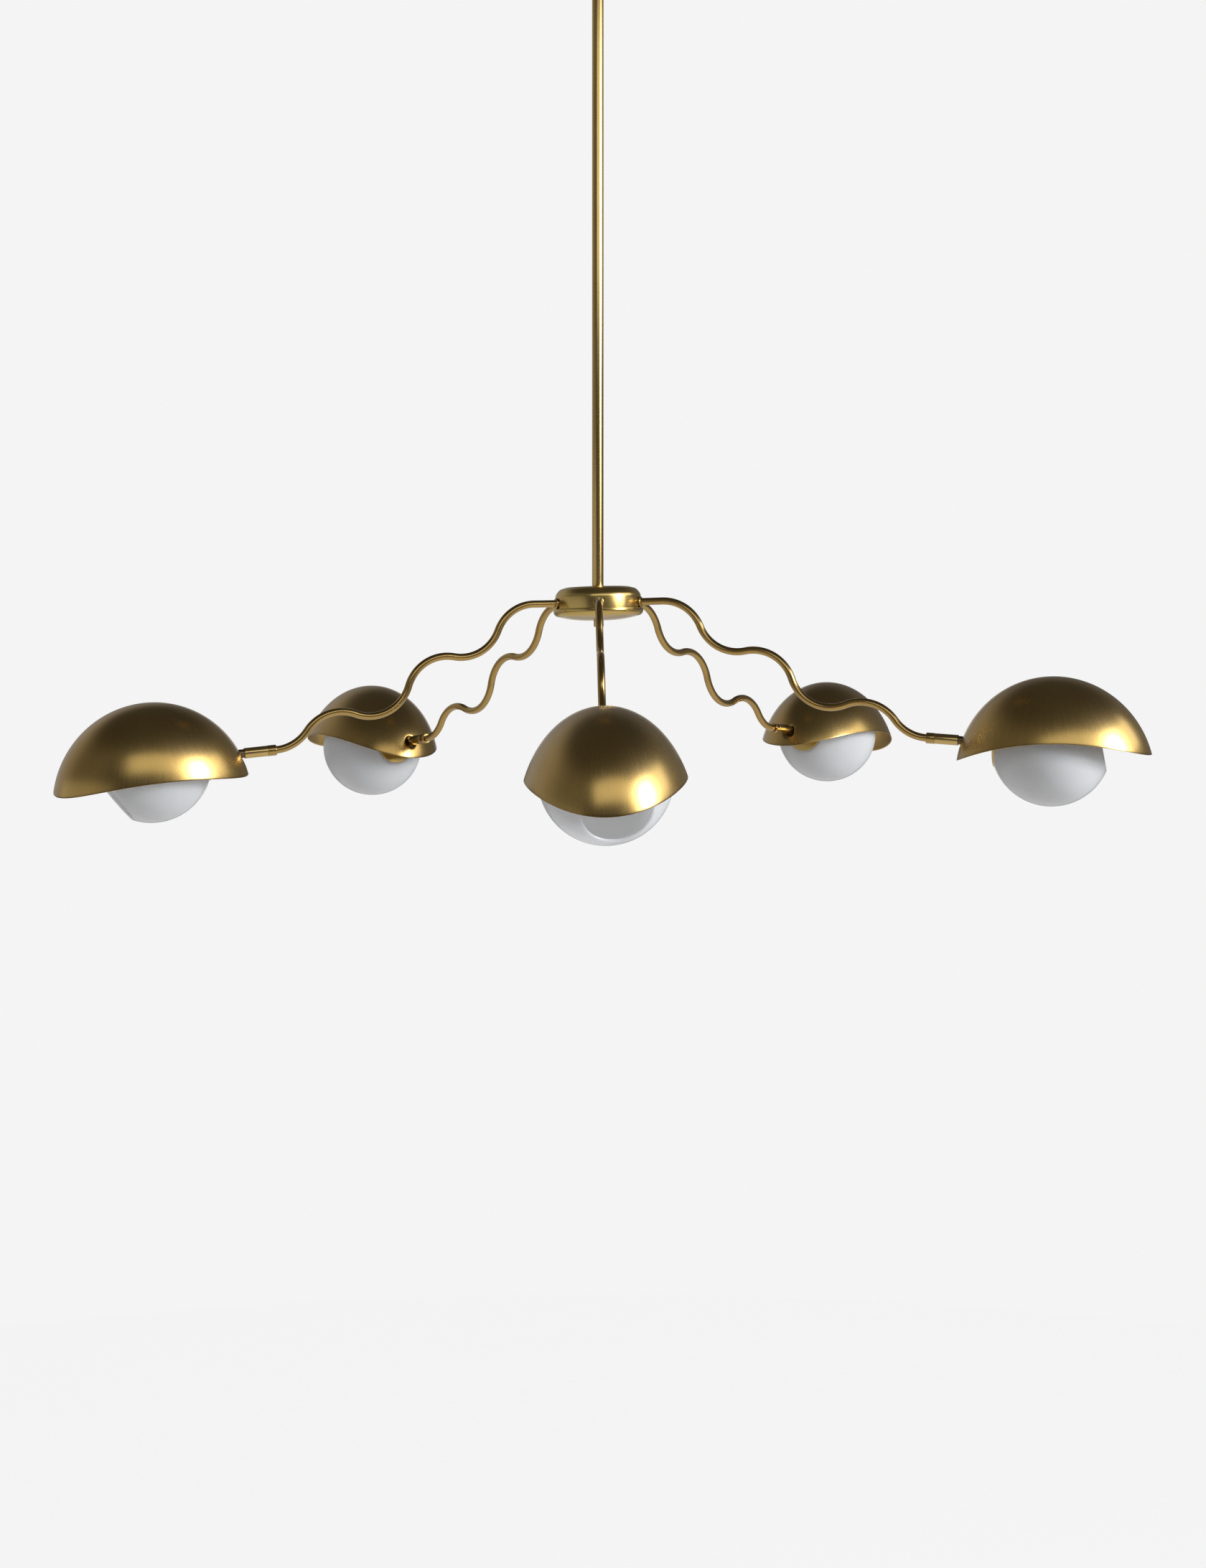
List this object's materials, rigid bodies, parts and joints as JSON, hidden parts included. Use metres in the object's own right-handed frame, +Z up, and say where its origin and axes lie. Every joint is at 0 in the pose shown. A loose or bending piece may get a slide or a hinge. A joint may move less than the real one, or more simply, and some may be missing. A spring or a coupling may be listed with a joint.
{
  "type": "chandelier",
  "caption": "Brass chandelier: domed shades over opal glass globes on wavy arms that spread from a round hub on a long rod, with a swivel under its ceiling canopy.",
  "frame": {"origin": "centre of the ceiling plate's upper face, which lies on the ceiling", "axes": "+Z up into the ceiling, the front arm points along -Y, +X to the right seen from the front"},
  "size_m": [1.1371, 1.0835, 1.005],
  "materials": {
    "polished_brass": "lightly brushed, glossy",
    "aged_brass": "brushed, aged",
    "dark_brass": "dark patina",
    "zinc_steel": "zinc plated",
    "spring_steel": "tempered",
    "black_plastic": "matt",
    "opal_glass": "glossy opal"
  },
  "bodies": {
    "ceiling_set": {"ceiling_plate": "zinc_steel", "canopy": "polished_brass", "canopy_nipple": "zinc_steel", "nipple_nut": "zinc_steel", "canopy_collar": "polished_brass"},
    "knuckle": {"yoke_cap": "polished_brass", "swivel_yoke": "polished_brass", "swivel_pin": "zinc_steel"},
    "fixture": {"swivel_eye": "polished_brass", "stem_rod": "polished_brass", "hub_upper_cup": "polished_brass", "hub_lower_pan": "polished_brass", "hub_plate": "zinc_steel", "hub_nipple": "zinc_steel", "hub_nuts": "zinc_steel", "finial": "polished_brass", "arm_ferrules": "polished_brass", "ferrule_nuts": "zinc_steel", "arm_end_rings": "polished_brass", "swivel_clips": "spring_steel", "arm_tube_front": "polished_brass", "arm_tube_right": "polished_brass", "arm_tube_back_right": "polished_brass", "arm_tube_back_left": "polished_brass", "arm_tube_left": "polished_brass"},
    "head_front": {"swivel_sleeve_front": "polished_brass", "neck_bush_front": "dark_brass", "shade_front": "aged_brass", "globe_disc_front": "aged_brass", "lamp_holder_front": "black_plastic", "lock_ring_front": "black_plastic", "globe_front": "opal_glass"},
    "head_right": {"swivel_sleeve_right": "polished_brass", "neck_bush_right": "dark_brass", "shade_right": "aged_brass", "globe_disc_right": "aged_brass", "lamp_holder_right": "black_plastic", "lock_ring_right": "black_plastic", "globe_right": "opal_glass"},
    "head_back_right": {"swivel_sleeve_back_right": "polished_brass", "neck_bush_back_right": "dark_brass", "shade_back_right": "aged_brass", "globe_disc_back_right": "aged_brass", "lamp_holder_back_right": "black_plastic", "lock_ring_back_right": "black_plastic", "globe_back_right": "opal_glass"},
    "head_back_left": {"swivel_sleeve_back_left": "polished_brass", "neck_bush_back_left": "dark_brass", "shade_back_left": "aged_brass", "globe_disc_back_left": "aged_brass", "lamp_holder_back_left": "black_plastic", "lock_ring_back_left": "black_plastic", "globe_back_left": "opal_glass"},
    "head_left": {"swivel_sleeve_left": "polished_brass", "neck_bush_left": "dark_brass", "shade_left": "aged_brass", "globe_disc_left": "aged_brass", "lamp_holder_left": "black_plastic", "lock_ring_left": "black_plastic", "globe_left": "opal_glass"}
  },
  "joints": [
    {"name": "knuckle_turn", "type": "hinge", "parent": "ceiling_set", "child": "knuckle", "pos_m": [0, 0, 0], "axis": [0, 0, 1], "range_deg": [-170, 170]},
    {"name": "knuckle_swing", "type": "hinge", "parent": "knuckle", "child": "fixture", "pos_m": [0, 0, -0.0536], "axis": [1, 0, 0], "range_deg": [-35, 35]},
    {"name": "head_turn_front", "type": "hinge", "parent": "fixture", "child": "head_front", "pos_m": [0.00424, -0.36062, -0.92536], "axis": [0.0023, -0.9957, -0.0923], "range_deg": [-90, 90]},
    {"name": "head_turn_right", "type": "hinge", "parent": "fixture", "child": "head_right", "pos_m": [0.3477, -0.11164, -0.91522], "axis": [0.9493, -0.3079, -0.0631], "range_deg": [-90, 90]},
    {"name": "head_turn_back_right", "type": "hinge", "parent": "fixture", "child": "head_back_right", "pos_m": [0.21674, 0.29267, -0.91716], "axis": [0.5876, 0.8063, -0.0676], "range_deg": [-90, 90]},
    {"name": "head_turn_back_left", "type": "hinge", "parent": "fixture", "child": "head_back_left", "pos_m": [-0.20791, 0.29206, -0.92955], "axis": [-0.5831, 0.8058, -0.1032], "range_deg": [-90, 90]},
    {"name": "head_turn_left", "type": "hinge", "parent": "fixture", "child": "head_left", "pos_m": [-0.34091, -0.11213, -0.92777], "axis": [-0.9466, -0.3082, -0.0947], "range_deg": [-90, 90]}
  ]
}
